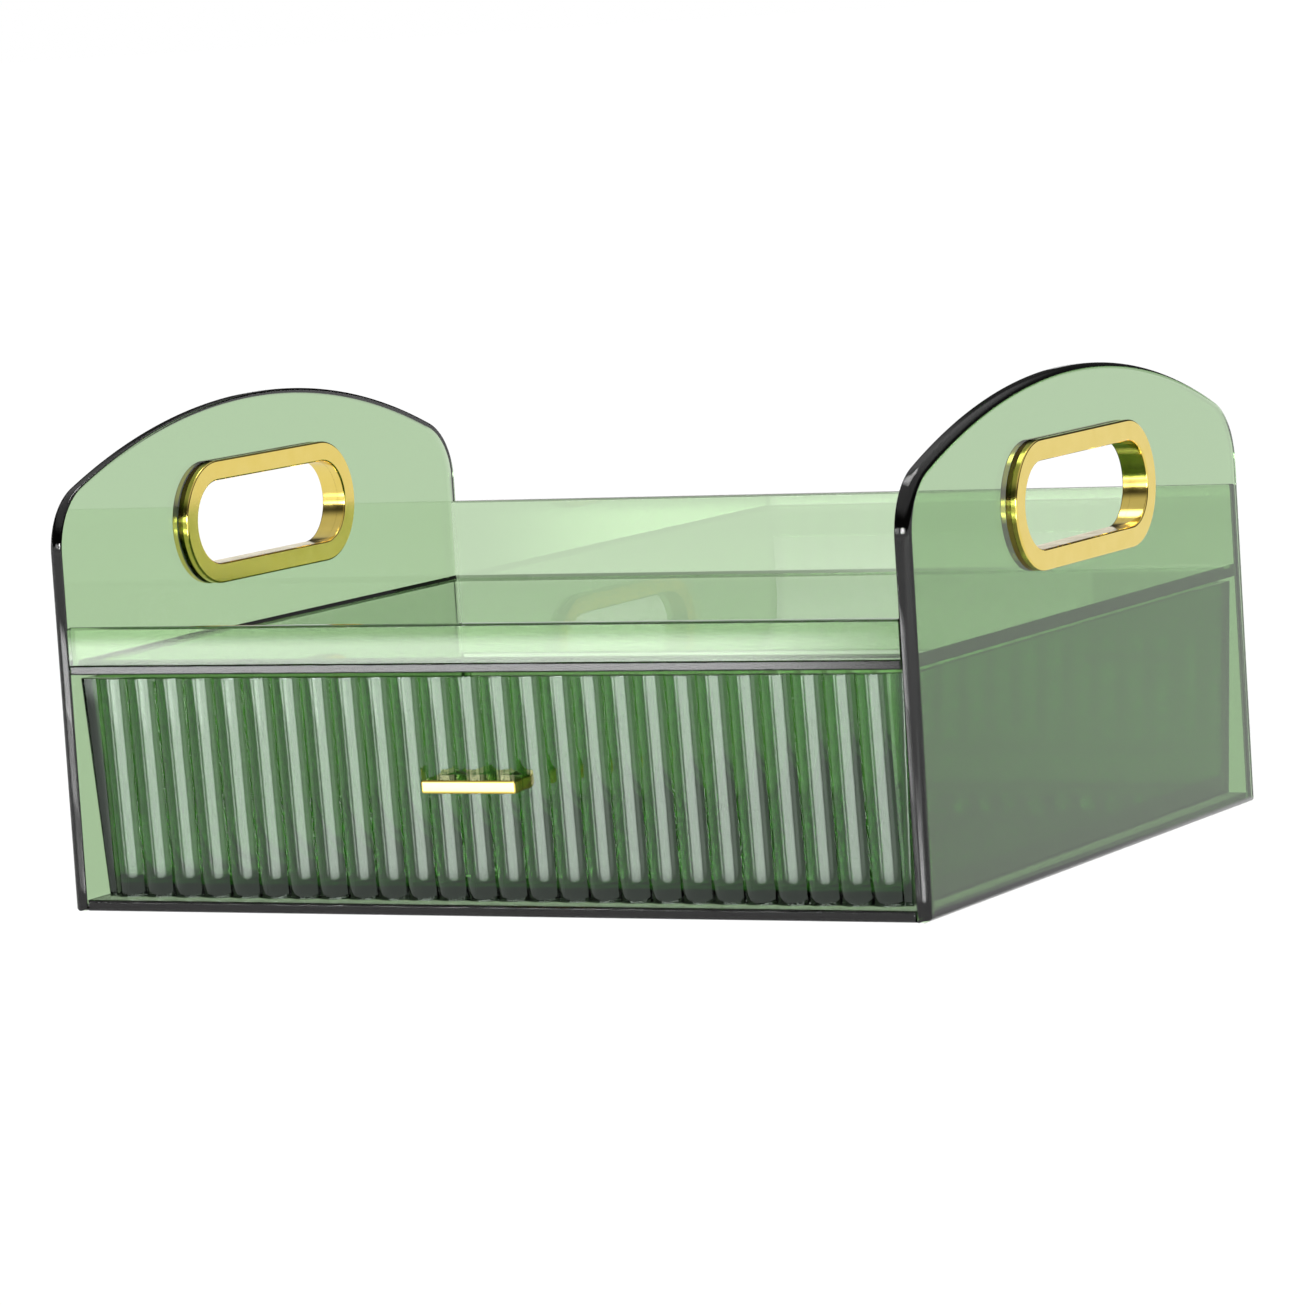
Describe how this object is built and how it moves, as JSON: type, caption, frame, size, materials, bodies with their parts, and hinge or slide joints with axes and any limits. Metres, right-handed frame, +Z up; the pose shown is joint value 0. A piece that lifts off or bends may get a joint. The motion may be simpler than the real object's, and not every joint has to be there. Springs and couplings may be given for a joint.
{
  "type": "makeup drawer box",
  "caption": "See-through vanity box: an open tray between arched side panels with trimmed hand-holes, over a full-width reeded drawer with a bar pull.",
  "frame": {"origin": "middle of the cabinet's underside", "axes": "+Z up, +X to the right as seen from the front, the drawer opens towards -Y"},
  "size_m": [0.304, 0.2566, 0.154],
  "materials": {
    "green_sheet": "clear green, polished",
    "green_moulding": "clear green, polished",
    "gold_plated_plastic": "gold plated, bright",
    "gold_plated_metal": "gold plated, bright",
    "screw_steel": "zinc plated"
  },
  "bodies": {
    "cabinet": {"left_side_panel": "green_sheet", "right_side_panel": "green_sheet", "base_panel": "green_sheet", "back_panel": "green_sheet", "tray_floor": "green_sheet", "tray_front_lip": "green_sheet", "left_grip_ring_outer": "gold_plated_plastic", "left_grip_ring_inner": "gold_plated_plastic", "right_grip_ring_outer": "gold_plated_plastic", "right_grip_ring_inner": "gold_plated_plastic"},
    "drawer": {"drawer_box": "green_moulding", "drawer_pull": "gold_plated_metal", "pull_screws": "screw_steel"}
  },
  "joints": [
    {"name": "drawer_slide", "type": "slide", "parent": "cabinet", "child": "drawer", "axis": [0, -1, 0], "range_m": [0, 0.18]}
  ]
}
